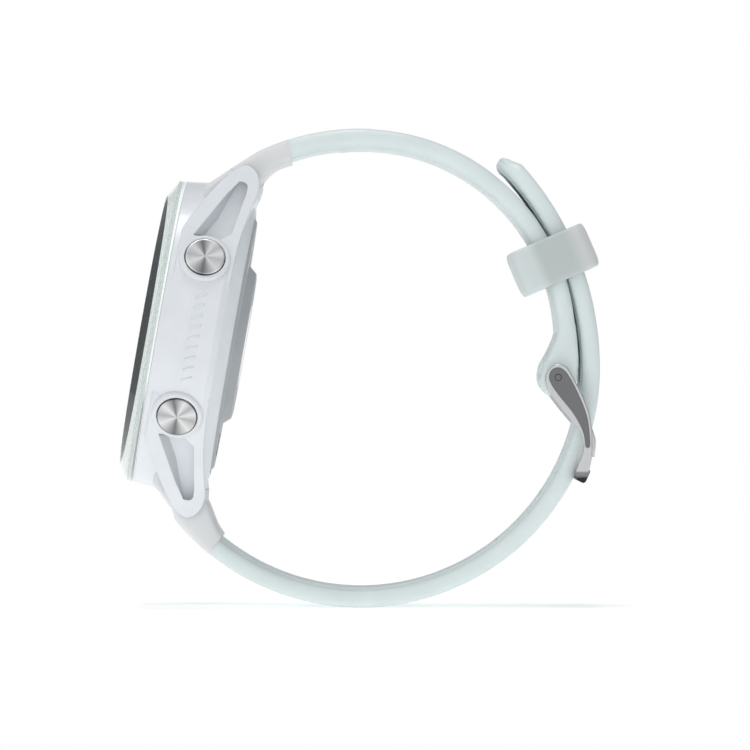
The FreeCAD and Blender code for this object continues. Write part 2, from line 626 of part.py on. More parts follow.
def buckle_tongue():
    """The bent blade from the pin through one hole of the long strap to rest outside the bar."""
    pin = point(size("buckle_x"), size("buckle_z"))
    middle = [(31.0, 34.2), (32.7, 31.6), (34.3, 29.1), (35.1, 27.0), (35.3, 24.6), (35.25, 23.0),
              (35.2, 22.0)]
    half_thick = size("tongue_half")
    outer, inner = [], []
    for index, (x, z) in enumerate(middle):
        before = middle[max(index - 1, 0)]
        after = middle[min(index + 1, len(middle) - 1)]
        along = Vector(after[0] - before[0], 0, after[1] - before[1]).normalize()
        normal = Vector(-along.z, 0, along.x)
        outer.append(point(x, z) + normal * half_thick)
        inner.append(point(x, z) - normal * half_thick)
    loop = outer + inner[::-1]
    half = size("tongue_wide") / 2
    blade = Part.Face(Part.makePolygon(loop + loop[:1]))
    blade.translate(Vector(0, -half, 0))
    blade = blade.extrude(Vector(0, 2 * half, 0))
    eye = along_y(size("eye_r"), half, pin)
    bore = along_y(size("buckle_pin_r") + 0.05, half + 1, pin)
    return blade.fuse(eye).removeSplitter().cut(bore)


def buckle_pin():
    pin = point(size("buckle_x"), size("buckle_z"))
    return along_y(size("buckle_pin_r"), size("frame_wide") / 2 - 0.05, pin)


def keeper_loop():
    """A rectangular sleeve round both straps, its hole as wide as the strap."""
    near, far = size("keeper_near"), size("keeper_far")
    high, wall = size("keeper_high"), size("keeper_wall")
    half = size("strap_wide") / 2 + 0.35
    outer = Part.makeBox(far - near, 2 * (half + wall), high,
                         Vector(near, -half - wall, -high / 2))
    long_edges = [edge for edge in outer.Edges
                  if abs(edge.Vertexes[0].Z - edge.Vertexes[1].Z) < 0.01]
    outer = outer.makeFillet(0.9, long_edges)
    hole = Part.makeBox(far - near - 2 * wall, 2 * half, high + 2,
                        Vector(near + wall, -half, -high / 2 - 1))
    sleeve = outer.cut(hole)
    sleeve.rotate(Vector(0, 0, 0), Vector(0, 1, 0), -size("keeper_angle"))
    sleeve.translate(point(*UNDER))
    return sleeve


def free_shape(label, shape):
    feature = doc.addObject("Part::Feature", label)
    feature.Shape = shape
    keep(label, feature)


def strap_pieces():
    free_shape("strap_lower", long_strap())
    free_shape("strap_upper", buckle_strap())
    for sign, word in ((1, "upper"), (-1, "lower")):
        free_shape(f"lug_pin_{word}", strap_pin(sign))
        free_shape(f"lug_pin_spring_{word}", pin_spring(sign))
        free_shape(f"{word}_latch", latch(sign))
    free_shape("buckle_frame", buckle_frame())
    free_shape("buckle_tongue", buckle_tongue())
    free_shape("buckle_pin", buckle_pin())
    free_shape("keeper_loop", keeper_loop())


# ---------------------------------------------------------------- build, test and write
main_case()
glass_and_display()
electronics()
rear_cover()
buttons()
strap_pieces()
doc.recompute()

for item in doc.Objects:
    if any(word in item.State for word in ("Invalid", "Error")):
        raise RuntimeError(f"{item.Name} failed: {item.State}")
os.makedirs("parts", exist_ok=True)
for name, item in nodes.items():
    shape = item.Shape
    if shape.isNull() or not shape.isValid():
        raise RuntimeError(f"{name} has no valid shape")
    shape.exportStep(f"parts/{name}.step")
    print(name, len(shape.Solids), round(shape.Volume, 2))
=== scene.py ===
"""The looks of a round sports watch on its closed strap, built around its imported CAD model.

Lengths below are millimetres in the model's own frame, and become metres in a mesh.
"""
import json
import math

import bpy
import bmesh
from mathutils import Matrix, Vector
from mathutils.geometry import tessellate_polygon


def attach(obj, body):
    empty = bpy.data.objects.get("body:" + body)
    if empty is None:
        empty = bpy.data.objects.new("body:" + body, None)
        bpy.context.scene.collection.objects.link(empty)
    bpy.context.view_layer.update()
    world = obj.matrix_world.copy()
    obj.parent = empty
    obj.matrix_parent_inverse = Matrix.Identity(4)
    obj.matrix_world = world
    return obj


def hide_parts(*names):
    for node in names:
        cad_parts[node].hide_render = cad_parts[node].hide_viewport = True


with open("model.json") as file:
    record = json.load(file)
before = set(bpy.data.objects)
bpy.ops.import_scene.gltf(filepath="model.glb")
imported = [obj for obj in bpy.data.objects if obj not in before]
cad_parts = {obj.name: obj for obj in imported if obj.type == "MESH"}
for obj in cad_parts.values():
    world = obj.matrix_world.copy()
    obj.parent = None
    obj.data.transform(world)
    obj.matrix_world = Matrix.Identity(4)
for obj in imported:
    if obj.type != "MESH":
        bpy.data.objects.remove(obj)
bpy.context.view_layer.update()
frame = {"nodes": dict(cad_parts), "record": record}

MM = 0.001

# ---------------------------------------------------------------- places shared with the design
CASE_TILT = math.radians(10.0)
CASE_ORIGIN = (-31.08, 41.98)
LOOP = (0.0, 36.3)
OVER = (-9.9, 36.3)
UNDER = (0.3, 40.2)
PIN = (29.9, 34.9)
# outer and inner face of each strap round those centres
LOOP_OUTER, LOOP_INNER = 36.3, 33.3
OVER_OUTER, OVER_INNER = 46.2, 43.2
UNDER_OUTER, UNDER_INNER = 32.3, 29.3
ROOT_OUTER, ROOT_INNER = 36.32, 32.85
BAR_REACH, BAR_TURN = 37.4, -25.6
KEEPER_TURN = -23.4
CASE_RADIUS = 23.8
KEY_DEPTH, KEY_RISE = 5.7, 12.3


def case_point(n, y, u):
    """A point of the case's own frame (n through the wrist side, u towards twelve o'clock)."""
    cos, sin = math.cos(CASE_TILT), math.sin(CASE_TILT)
    return (CASE_ORIGIN[0] + n * cos + u * sin, y, CASE_ORIGIN[1] - n * sin + u * cos)


def case_xz(n, u):
    x, _, z = case_point(n, 0, u)
    return (x, z)


def case_matrix():
    place = Matrix.Translation(Vector(case_point(0, 0, 0)) * MM)
    return place @ Matrix.Rotation(CASE_TILT, 4, "Y")


def polar(centre, radius, degrees):
    turn = math.radians(degrees)
    return (centre[0] + radius * math.cos(turn), centre[1] + radius * math.sin(turn))


def arc(centre, radius, start, end, steps):
    """Points along an arc in the xz plane, both ends included."""
    return [polar(centre, radius, start + (end - start) * i / steps) for i in range(steps + 1)]


def smooth_path(points, steps):
    """A Catmull-Rom curve through the points, with that many steps between each two."""
    padded = [points[0], *points, points[-1]]
    path = []
    for i in range(1, len(padded) - 2):
        a, b, c, d = padded[i - 1:i + 3]
        for k in range(steps):
            s = k / steps
            path.append(tuple(
                0.5 * (2 * b[j] + (c[j] - a[j]) * s + (2 * a[j] - 5 * b[j] + 4 * c[j] - d[j]) * s ** 2
                       + (3 * b[j] - a[j] - 3 * c[j] + d[j]) * s ** 3) for j in range(len(b))))
    path.append(tuple(points[-1]))
    return path


def resample(path, count):
    """The same path with evenly spaced points."""
    lengths = [0.0]
    for a, b in zip(path, path[1:]):
        lengths.append(lengths[-1] + math.dist(a, b))
    out, at = [], 0
    for k in range(count):
        goal = lengths[-1] * k / (count - 1)
        while at < len(path) - 2 and lengths[at + 1] < goal:
            at += 1
        span = max(lengths[at + 1] - lengths[at], 1e-9)
        s = min(max((goal - lengths[at]) / span, 0.0), 1.0)
        out.append(tuple(a + (b - a) * s for a, b in zip(path[at], path[at + 1])))
    return out


# ---------------------------------------------------------------- materials
def new_material(name):
    mat = bpy.data.materials.new(name)
    mat.use_nodes = True
    return mat, mat.node_tree, mat.node_tree.nodes["Principled BSDF"]


def add(tree, kind, **settings):
    node = tree.nodes.new(kind)
    for key, value in settings.items():
        setattr(node, key, value)
    return node


def coordinates(tree, scale=(1, 1, 1)):
    """Object coordinates in millimetres, stretched by scale."""
    coord = add(tree, "ShaderNodeTexCoord")
    mapping = add(tree, "ShaderNodeMapping")
    mapping.inputs["Scale"].default_value = [1000 * s for s in scale]
    tree.links.new(coord.outputs["Object"], mapping.inputs["Vector"])
    return mapping.outputs["Vector"]


def noise(tree, where, scale, detail=3.0, rough=0.5):
    node = add(tree, "ShaderNodeTexNoise")
    node.inputs["Scale"].default_value = scale
    node.inputs["Detail"].default_value = detail
    node.inputs["Roughness"].default_value = rough
    tree.links.new(where, node.inputs["Vector"])
    return node.outputs["Fac"]


def ramp(tree, value, stops):
    """A colour ramp; each stop is (position, colour)."""
    node = add(tree, "ShaderNodeValToRGB")
    elements = node.color_ramp.elements
    while len(elements) < len(stops):
        elements.new(0.5)
    for element, (position, colour) in zip(elements, stops):
        element.position = position
        element.color = (*colour, 1.0)
    tree.links.new(value, node.inputs["Fac"])
    return node.outputs["Color"]


def spread(tree, value, low, high):
    """Map 0..1 to low..high."""
    node = add(tree, "ShaderNodeMapRange")
    node.inputs["To Min"].default_value = low
    node.inputs["To Max"].default_value = high
    tree.links.new(value, node.inputs["Value"])
    return node.outputs["Result"]


def bump(tree, shader, height, strength, distance, edge=0.0):
    """Fine relief from a height, over edges softened by a small radius where edge is given."""
    node = add(tree, "ShaderNodeBump")
    node.inputs["Strength"].default_value = strength
    node.inputs["Distance"].default_value = distance * MM
    tree.links.new(height, node.inputs["Height"])
    if edge:
        soft = add(tree, "ShaderNodeBevel", samples=4)
        soft.inputs["Radius"].default_value = edge * MM
        tree.links.new(soft.outputs["Normal"], node.inputs["Normal"])
    tree.links.new(node.outputs["Normal"], shader.inputs["Normal"])


def surface(name, colour, shade, rough, metallic=0.0, grain=2.0, relief=0.02, edge=0.0, **extra):
    """A moulded or metal surface: colour drifts towards shade, roughness and relief vary."""
    mat, tree, shader = new_material(name)
    where = coordinates(tree)
    cloud = noise(tree, where, 0.12 * grain, 4.0)
    fine = noise(tree, where, grain * 4.0, 2.0, 0.6)
    tree.links.new(ramp(tree, cloud, [(0.3, shade), (0.7, colour)]), shader.inputs["Base Color"])
    tree.links.new(spread(tree, fine, rough[0], rough[1]), shader.inputs["Roughness"])
    shader.inputs["Metallic"].default_value = metallic
    for socket, value in extra.items():
        shader.inputs[socket.replace("_", " ")].default_value = value
    bump(tree, shader, fine, 0.35, relief, edge)
    return mat


def brushed(name, colour, shade, rough, stretch, edge=0.0, foot=()):
    """Steel with fine parallel marks; stretch sets which way they run, foot the height band where a
    painted dark reflection darkens it towards the bottom.
    """
    mat, tree, shader = new_material(name)
    marks = noise(tree, coordinates(tree, stretch), 3.0, 5.0, 0.7)
    tint = ramp(tree, marks, [(0.25, shade), (0.75, colour)])
    if foot:
        # painted dark reflection: the colour falls to near black below the foot band
        split = add(tree, "ShaderNodeSeparateXYZ")
        tree.links.new(coordinates(tree), split.inputs["Vector"])
        rise = add(tree, "ShaderNodeMapRange")
        rise.inputs["From Min"].default_value, rise.inputs["From Max"].default_value = foot
        tree.links.new(split.outputs["Z"], rise.inputs["Value"])
        painted_dark_foot = ramp(tree, rise.outputs["Result"], [(0.0, (0.04,) * 3), (0.28, (0.07,) * 3),
                                                   (0.42, (0.4,) * 3), (0.6, (0.45,) * 3),
                                                   (0.72, (1.0,) * 3)])
        both = add(tree, "ShaderNodeVectorMath", operation="MULTIPLY")
        tree.links.new(tint, both.inputs[0])
        tree.links.new(painted_dark_foot, both.inputs[1])
        tint = both.outputs["Vector"]
    tree.links.new(tint, shader.inputs["Base Color"])
    tree.links.new(spread(tree, marks, *rough), shader.inputs["Roughness"])
    shader.inputs["Metallic"].default_value = 1.0
    bump(tree, shader, marks, 0.25, 0.01, edge)
    return mat


def spun(name, light, mid, dark):
    """A spun steel face: rings round its own z axis, and the fan of light they throw, painted into
    its colour as light and dark sectors (a painted reflection).
    """
    mat, tree, shader = new_material(name)
    where = coordinates(tree)
    rings = add(tree, "ShaderNodeTexWave", wave_type="RINGS", rings_direction="Z")
    rings.inputs["Scale"].default_value = 3.2
    rings.inputs["Distortion"].default_value = 0.4
    tree.links.new(where, rings.inputs["Vector"])
    fan = add(tree, "ShaderNodeTexGradient", gradient_type="RADIAL")
    tree.links.new(where, fan.inputs["Vector"])
    # the sectors of light, mid and dark steel are a painted reflection
    light, mid, dark = (light,) * 3, (mid,) * 3, (dark,) * 3
    stops = [(0.00, mid), (0.09, light), (0.25, dark), (0.38, light), (0.49, mid), (0.56, light),
             (0.63, mid), (0.70, light), (0.80, dark), (0.90, light), (1.00, mid)]
    tree.links.new(ramp(tree, fan.outputs["Fac"], stops), shader.inputs["Base Color"])
    tree.links.new(spread(tree, rings.outputs["Fac"], 0.22, 0.34), shader.inputs["Roughness"])
    shader.inputs["Metallic"].default_value = 1.0
    shader.inputs["Anisotropic"].default_value = 0.35
    tangent = add(tree, "ShaderNodeTangent", direction_type="RADIAL", axis="Z")
    tree.links.new(tangent.outputs["Tangent"], shader.inputs["Tangent"])
    bump(tree, shader, rings.outputs["Fac"], 0.2, 0.01)
    return mat


def glass(name, tint, rough=0.0):
    mat, tree, shader = new_material(name)
    fine = noise(tree, coordinates(tree), 0.4, 2.0)
    deeper = tuple(channel * 0.97 for channel in tint)
    tree.links.new(ramp(tree, fine, [(0.2, deeper), (0.8, tint)]), shader.inputs["Base Color"])
    shader.inputs["Roughness"].default_value = rough
    shader.inputs["Transmission Weight"].default_value = 1.0
    shader.inputs["IOR"].default_value = 1.5
    return mat


def silicone(name, colour, shade, scatter, coat=0.0):
    """Soft translucent rubber with a faint mould grain."""
    mat, tree, shader = new_material(name)
    where = coordinates(tree)
    cloud = noise(tree, where, 0.18, 4.0)
    grain = noise(tree, where, 9.0, 2.0, 0.7)
    tree.links.new(ramp(tree, cloud, [(0.3, shade), (0.7, colour)]), shader.inputs["Base Color"])
    tree.links.new(spread(tree, grain, 0.34, 0.50), shader.inputs["Roughness"])
    shader.inputs["Subsurface Weight"].default_value = scatter
    shader.inputs["Subsurface Radius"].default_value = (1.0, 1.1, 1.1)
    shader.inputs["Subsurface Scale"].default_value = 1.2 * MM
    shader.inputs["Coat Weight"].default_value = coat
    shader.inputs["Coat Roughness"].default_value = 0.25
    bump(tree, shader, grain, 0.3, 0.012)
    return mat


def sleeve(name):
    """Milky rubber with painted shade: darker over the two straps that show through it (x out of the
    curve).
    """
    mat, tree, shader = new_material(name)
    where = coordinates(tree)
    split = add(tree, "ShaderNodeSeparateXYZ")
    tree.links.new(where, split.inputs["Vector"])
    reach = add(tree, "ShaderNodeMapRange")
    reach.inputs["From Min"].default_value = 25.3
    reach.inputs["From Max"].default_value = 37.8
    tree.links.new(split.outputs["X"], reach.inputs["Value"])
    # the darker middle and greyer end are painted shade, not the rubber's own colour
    pale, middle, end = (0.66, 0.715, 0.71), (0.53, 0.575, 0.57), (0.65, 0.665, 0.66)
    stops = [(0.25, pale), (0.37, middle), (0.72, middle), (0.88, end)]
    tree.links.new(ramp(tree, reach.outputs["Result"], stops), shader.inputs["Base Color"])
    grain = noise(tree, where, 9.0, 2.0, 0.7)
    tree.links.new(spread(tree, grain, 0.42, 0.55), shader.inputs["Roughness"])
    shader.inputs["Subsurface Weight"].default_value = 0.4
    shader.inputs["Subsurface Radius"].default_value = (1.0, 1.05, 1.05)
    shader.inputs["Subsurface Scale"].default_value = 1.0 * MM
    bump(tree, shader, grain, 0.25, 0.01)
    return mat


MATERIALS = {
    "case": surface("case_white", (0.80, 0.83, 0.86), (0.76, 0.79, 0.82), (0.26, 0.36),
                    edge=0.25, Coat_Weight=0.15),
    # a darker copy of the case white for the pocket walls: painted shade
    "case_painted_shade": surface("case_painted_shade", (0.60, 0.62, 0.65), (0.56, 0.58, 0.61), (0.4, 0.5)),
    "glass": glass("lens_clear", (0.95, 0.985, 0.975)),
    "gasket": surface("gasket_black", (0.05, 0.05, 0.055), (0.03, 0.03, 0.035), (0.5, 0.7)),
    "bezel": surface("bezel_print", (0.62, 0.68, 0.67), (0.56, 0.62, 0.61), (0.3, 0.4)),
    "display": surface("display_dark", (0.045, 0.055, 0.06), (0.04, 0.05, 0.055), (0.08, 0.14),
                       relief=0.0),
    "film": surface("film_white", (0.85, 0.86, 0.86), (0.8, 0.81, 0.81), (0.4, 0.5)),
    "chassis": surface("chassis_grey", (0.2, 0.21, 0.22), (0.16, 0.17, 0.18), (0.4, 0.6)),
    "board": surface("board_green", (0.03, 0.16, 0.08), (0.02, 0.1, 0.05), (0.25, 0.4)),
    "tin": brushed("tin_plate", (0.72, 0.73, 0.74), (0.6, 0.61, 0.62), (0.25, 0.4), (1, 8, 1)),
    "foil": brushed("battery_foil", (0.62, 0.64, 0.67), (0.5, 0.52, 0.55), (0.2, 0.4), (1, 1, 6)),
    "flex": surface("flex_amber", (0.55, 0.27, 0.05), (0.45, 0.2, 0.03), (0.2, 0.35)),
    "copper": brushed("antenna_copper", (0.8, 0.5, 0.3), (0.7, 0.4, 0.24), (0.2, 0.3), (6, 1, 1)),
    "cover": surface("cover_grey", (0.46, 0.48, 0.50), (0.42, 0.44, 0.46), (0.38, 0.5),
                     relief=0.03, edge=0.15),
    "screw": brushed("screw_steel", (0.6, 0.61, 0.62), (0.45, 0.46, 0.47), (0.2, 0.35), (9, 1, 1)),
    "brass": brushed("insert_brass", (0.78, 0.6, 0.3), (0.65, 0.5, 0.25), (0.25, 0.4), (9, 1, 1)),
    "window": surface("window_black", (0.012, 0.012, 0.016), (0.02, 0.02, 0.024), (0.04, 0.07),
                      relief=0.0, Coat_Weight=0.5),
    "chip": surface("chip_white", (0.8, 0.8, 0.74), (0.7, 0.7, 0.64), (0.3, 0.5)),
    "chip_black": surface("chip_black", (0.02, 0.02, 0.022), (0.03, 0.03, 0.03), (0.25, 0.4)),
    "gold": brushed("contact_gold", (0.9, 0.68, 0.3), (0.8, 0.58, 0.24), (0.12, 0.25), (9, 1, 1)),
    "spun": spun("button_spun", 1.0, 0.68, 0.24),
    # a darker copy of the spun steel for the back key: painted shade
    "spun_painted_shade": spun("button_spun_painted_shade", 0.72, 0.42, 0.17),
    "spring": brushed("spring_steel", (0.6, 0.61, 0.62), (0.4, 0.41, 0.42), (0.2, 0.3), (1, 9, 1)),
    "seal": surface("seal_rubber", (0.06, 0.06, 0.065), (0.04, 0.04, 0.045), (0.5, 0.7)),
    "strap": silicone("strap_pale", (0.76, 0.835, 0.83), (0.72, 0.795, 0.79), 0.3),
    "root": silicone("strap_root", (0.765, 0.775, 0.78), (0.73, 0.74, 0.745), 0.25),
    "keeper": sleeve("keeper_pale"),
    # the ring's pale colour is print; its emission is painted light
    "ring_print_painted_glow": surface("ring_print_painted_glow", (0.90, 0.95, 0.94), (0.88, 0.93, 0.92), (0.3, 0.4),
                          relief=0.0,
                          Emission_Color=(0.93, 1.0, 0.98, 1), Emission_Strength=0.3),
    "steel": brushed("buckle_steel", (0.66, 0.665, 0.67), (0.55, 0.555, 0.56), (0.26, 0.38),
                     (1, 1, 7), edge=0.12),
    # the arms and the bar darken towards their low end: painted dark reflection
    "steel_arm": brushed("buckle_arm_steel", (0.66, 0.665, 0.67), (0.55, 0.555, 0.56),
                         (0.38, 0.5), (1, 1, 7), edge=0.12, foot=(18.95, 21.5)),
    # painted dark: the arms' recess floors take it as a painted dark reflection, the pin's ends as
    # painted shade
    "steel_painted_dark": brushed("buckle_recess_painted_dark", (0.20, 0.205, 0.21), (0.16, 0.165, 0.17), (0.25, 0.38),
                          (1, 1, 7)),
}

SLOT_MATERIALS = {
    "case_white": "case", "glass_clear": "glass", "gasket_black": "gasket",
    "bezel_print": "bezel", "display_dark": "display", "film_white": "film",
    "chassis_grey": "chassis", "board_green": "board", "tin_plate": "tin",
    "battery_foil": "foil", "flex_amber": "flex", "antenna_copper": "copper",
    "cover_grey": "cover", "screw_steel": "screw", "insert_brass": "brass",
    "window_black": "window", "chip_white": "chip", "chip_black": "chip_black",
    "contact_gold": "gold", "button_steel": "spun", "spring_steel": "spring",
    "seal_rubber": "seal", "strap_pale": "strap", "keeper_pale": "keeper",
    "buckle_steel": "steel",
}


def dress_cad_nodes():
    """Every carried-over CAD node takes the procedural material of its record slot."""
    for entry in frame["record"]["subparts"]:
        node = frame["nodes"][entry["node"]]
        node.data.materials.clear()
        node.data.materials.append(MATERIALS[SLOT_MATERIALS[entry["material_slot"]]])


# ---------------------------------------------------------------- meshes
# the four corners of a rectangle: the signs of its two halves, and where its arc begins
CORNERS = ((1, 1, 0), (-1, 1, 90), (-1, -1, 180), (1, -1, 270))


def solid(name, points, faces):
    """An object from points in millimetres, with every face turned outwards."""
    mesh = bpy.data.meshes.new(name)
    mesh.from_pydata([[c * MM for c in point] for point in points], [], faces)
    mesh.validate()
    work = bmesh.new()
    work.from_mesh(mesh)
    bmesh.ops.remove_doubles(work, verts=work.verts, dist=1e-7)
    bmesh.ops.recalc_face_normals(work, faces=work.faces)
    work.to_mesh(mesh)
    work.free()
    obj = bpy.data.objects.new(name, mesh)
    bpy.context.scene.collection.objects.link(obj)
    return obj


def piece(name, points, faces, material, body, replaces=(), place=None, smooth=40.0):
    """A named mesh with its material, riding on a CAD body."""
    obj = solid(name, points, faces)
    if place is not None:
        obj.matrix_world = place
    obj.data.materials.append(MATERIALS[material])
    shade(obj, smooth)
    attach(obj, body)
    if replaces:
        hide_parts(*replaces)
    return obj


def shade(obj, degrees):
    """Smooth shading, with edges sharper than this many degrees kept."""
    mesh = obj.data
    mesh.polygons.foreach_set("use_smooth", [True] * len(mesh.polygons))
    mesh.set_sharp_from_angle(angle=math.radians(degrees))


def loft(rings, closed_path=False, caps=True):
    """Points and faces of a skin through rings of equally many points."""
    count = len(rings[0])
    points = [point for ring in rings for point in ring]
    faces = []
    last = len(rings) if closed_path else len(rings) - 1
    for i in range(last):
        here, there = i * count, (i + 1) % len(rings) * count
        for k in range(count):
            after = (k + 1) % count
            faces.append((here + k, here + after, there + after, there + k))
    if caps and not closed_path:
        faces.append(tuple(reversed(range(count))))
        faces.append(tuple(range((len(rings) - 1) * count, len(rings) * count)))
    return points, faces


def turned(profile, steps=128):
    """Points and faces of an (x, radius) outline turned round the x axis."""
    rings = []
    for i in range(steps):
        turn = 2 * math.pi * i / steps
        rings.append([(x, r * math.cos(turn), r * math.sin(turn)) for x, r in profile])
    return loft(rings, closed_path=True)


def rounded(half_y, half_v, corner, steps=3):
    """A rectangle with rounded corners as (y, v) points."""
    points = []
    for sy, sv, start in CORNERS:
        for i in range(steps + 1):
            turn = math.radians(start + 90 * i / steps)
            points.append((sy * (half_y - corner) + corner * math.cos(turn),
                           sv * (half_v - corner) + corner * math.sin(turn)))
    return points


def band_section(half, thick, rounding, inset=0.0, margin=1.7, steps=4):
    """A strap's cross-section as (y, v) points: rounded edges, and a raised field inside."""
    corner = min(rounding, thick * 0.45)
    points = []
    for sy, sv, start in CORNERS:
        for i in range(steps + 1):
            turn = math.radians(start + 90 * i / steps)
            y = sy * (half - corner) + corner * math.cos(turn)
            v = sv * (thick / 2 - corner) + corner * math.sin(turn)
            points.append((y, v + (inset if sv < 0 else 0.0)))
        if sv > 0 and sy > 0:
            points += [(half * f, thick / 2 + 0.12 * (1 - f * f)) for f in (0.6, 0.2, -0.2, -0.6)]
        if sv < 0 and sy < 0:
            edge = half - margin
            low = -thick / 2
            points += [(-edge, low + inset), (-edge + 0.35, low), (-edge * 0.4, low),
                       (edge * 0.4, low), (edge - 0.35, low), (edge, low + inset)]
    return points


def strap_rings(outer, inner, halves, rounding, inset=0.0):
    """Cross-sections between an outer and an inner path of equally many points."""
    rings = []
    for (xo, zo), (xi, zi), half in zip(outer, inner, halves):
        thick = math.dist((xo, zo), (xi, zi))
        dx, dz = (xo - xi) / thick, (zo - zi) / thick
        mx, mz = (xo + xi) / 2, (zo + zi) / 2
        section = band_section(half, thick, rounding, inset)
        rings.append([(mx + dx * v, y, mz + dz * v) for y, v in section])
    return rings


def cut_holes(obj, cutters):
    """Take the cutters' shapes out of a piece, and throw them away."""
    for cutter in cutters:
        modifier = obj.modifiers.new("hole", "BOOLEAN")
        modifier.operation = "DIFFERENCE"
        modifier.solver = "EXACT"
        modifier.object = cutter
    graph = bpy.context.evaluated_depsgraph_get()
    finished = bpy.data.meshes.new_from_object(obj.evaluated_get(graph))
    obj.modifiers.clear()
    obj.data = finished
    for cutter in cutters:
        bpy.data.objects.remove(cutter)


def hole_cutter(centre, radius, degrees, along, across=2.3, rounding=0.9):
    """A rounded slot's tool, pointing out of the loop at that angle."""
    low, high = along
    outline = [(y, z + (high - low) / 2)
               for y, z in rounded(across, (high + low) / 2, rounding, 4)]
    turn = math.radians(degrees)
    cx, cz = polar(centre, radius, degrees)
    rings = []
    for depth in (-4.0, 4.0):
        rings.append([(cx + depth * math.cos(turn) - z * math.sin(turn), y,
                       cz + depth * math.sin(turn) + z * math.cos(turn)) for y, z in outline])
    return solid("cutter", *loft(rings))


# ---------------------------------------------------------------- strap
STRAP_HALF = 10.9
TIP_HALF = 10.4
TIP_ROUND = 6.5
STRAP_ROUND = 1.15
TONGUE_HOLE, HOLE_PITCH, LAST_HOLE = -11.6, 10.4, 35.9


def long_strap():
    """From the lower root under the loop and up outside the buckle to the tip."""
    stations = 240
    outer = arc(LOOP, LOOP_OUTER, 229.5, 360, 150) + arc(OVER, OVER_OUTER, 0.5, 41.9, 60)
    inner = arc(LOOP, LOOP_INNER, 229.5, 360, 150) + arc(OVER, OVER_INNER, 0.5, 42.6, 60)
    outer, inner = resample(outer, stations), resample(inner, stations)
    outer += [(23.3, 67.65), (22.3, 68.1), (21.65, 68.3), (21.3, 68.2)]
    inner += [(21.25, 66.05), (20.85, 66.7), (20.75, 67.3), (20.9, 67.75)]
    halves = []
    for i in range(len(outer)):
        left = math.dist(outer[i], outer[-1])
        half = STRAP_HALF + (TIP_HALF - STRAP_HALF) * min(1.0, 1.6 * i / stations)
        if i > stations - 40 and left < TIP_ROUND:
            half -= TIP_ROUND * (1 - math.sqrt(1 - (1 - left / TIP_ROUND) ** 2))
        halves.append(half)
    rings = strap_rings(outer, inner, halves, STRAP_ROUND, 0.3)
    points, faces = loft(rings)
    strap = piece("strap_lower_band", points, faces, "strap", "watch",
                  replaces=["strap_lower"])
    cutters = []
    for index in range(-4, 9):
        angle = TONGUE_HOLE + HOLE_PITCH * index
        # the hole that the tongue is in is pulled long
        along = (3.9, 4.4) if index == 0 else (1.45, 1.45)
        centre, radius = LOOP, LOOP_INNER
        if angle > 0:
            centre, radius, angle = OVER, OVER_INNER, angle * LOOP_INNER / OVER_INNER
        if angle < LAST_HOLE:
            cutters.append(hole_cutter(centre, radius + 1.5, angle, along))
    cut_holes(strap, cutters)
    shade(strap, 35)


def strap_root(name, outer, inner, twin):
    """The stiffer moulded end between the lugs, a little thicker than the band it grips."""
    stations = 40
    rings = strap_rings(resample(outer, stations), resample(inner, stations),
                        [STRAP_HALF + 0.05] * stations, 1.0, 0.0)
    points, faces = loft(rings)
    piece(name, points, faces, "root", "watch", replaces=[twin])


def roots():
    outer = [case_xz(3.6, -21.0)]
    outer += smooth_path([case_xz(3.6, -22.9), case_xz(6.9, -26.0), (-28.2, 13.6)], 8)
    outer += arc(LOOP, ROOT_OUTER, 219.5, 230.6, 12)
    inner = smooth_path([case_xz(11.9, -22.4), case_xz(12.1, -24.1), (-23.1, 15.7), (-21.9, 12.6),
                         polar(LOOP, ROOT_INNER, 230.6)], 10)
    strap_root("strap_lower_root", outer, inner, "strap_lower")
    outer = [case_xz(3.6, 21.0)]
    outer += smooth_path([case_xz(3.6, 22.9), case_xz(6.95, 26.1), (-19.7, 66.5),
                         (-15.8, 68.95)], 8)
    outer += arc(LOOP, ROOT_OUTER, 115.0, 107.6, 8)
    inner = smooth_path([case_xz(11.9, 22.4), case_xz(12.1, 24.1), (-15.0, 64.3),
                         (-14.0, 65.7), (-12.4, 66.8), polar(LOOP, ROOT_INNER, 108.6)], 10)
    strap_root("strap_upper_root", outer, inner, "strap_upper")


def buckle_strap():
    """From the upper root over the top and down inside the long strap to the buckle pin."""
    stations = 200
    outer = arc(LOOP, LOOP_OUTER, 108.8, 88.0, 30)
    outer += arc(UNDER, UNDER_OUTER, 86.0, 6.0, 110)
    outer += smooth_path([(32.72, 41.6), (33.0, 38.6), (33.0, 36.6), polar(PIN, 3.0, 14.0)], 8)
    inner = arc(LOOP, LOOP_INNER, 108.8, 96.0, 30)
    inner += arc(UNDER, UNDER_INNER, 96.0, 3.0, 120)
    inner += smooth_path([(29.3, 40.8), (28.3, 38.6), (27.35, 36.9), polar(PIN, 2.95, 172.0)], 8)
    outer, inner = resample(outer, stations), resample(inner, stations)
    rings = strap_rings(outer, inner, [STRAP_HALF] * stations, STRAP_ROUND, 0.3)
    # the bulb round the pin closes the end
    for k in range(1, 9):
        swing = 84 * math.sin(math.radians(90 * k / 8))
        out, back = polar(PIN, 2.95, 12.0 - swing), polar(PIN, 2.92, 172.0 + swing)
        rings += strap_rings([out], [back], [STRAP_HALF], STRAP_ROUND, 0.0)
    points, faces = loft(rings)
    strap = piece("strap_upper_band", points, faces, "strap", "watch",
                  replaces=["strap_upper"])
    notch = hole_cutter(PIN, 0.0, -45.0, (3.2, 3.2), across=1.75, rounding=0.4)
    cut_holes(strap, [notch])
    shade(strap, 35)


